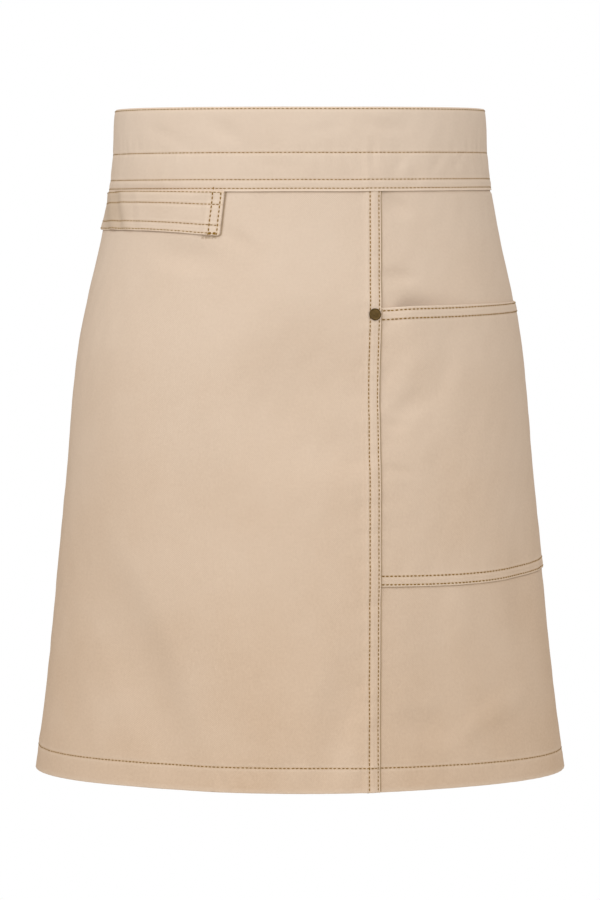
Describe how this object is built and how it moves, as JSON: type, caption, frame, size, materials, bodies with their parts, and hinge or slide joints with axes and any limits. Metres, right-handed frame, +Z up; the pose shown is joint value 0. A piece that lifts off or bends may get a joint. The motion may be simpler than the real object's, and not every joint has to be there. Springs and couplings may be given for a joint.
{
  "type": "waist apron",
  "caption": "Short flared waist apron in plain twill with a wide folded waistband, lapped front seam, riveted patch pocket, towel loop and an open back closed by a tie.",
  "frame": {"origin": "middle of the waist opening, half way up the waistband", "axes": "+Z up along the wearer, front of the apron toward -Y, +X to the right of a viewer who faces the front"},
  "size_m": [0.45, 0.2609, 0.557],
  "materials": {
    "cloth": "matte twill",
    "rivet_brass": "dark antique"
  },
  "bodies": {
    "root": {"front_panel": "cloth", "side_panel": "cloth", "pocket": "cloth", "waistband": "cloth", "towel_loop": "cloth", "waist_tie": "cloth", "rivet": "rivet_brass"}
  },
  "joints": []
}
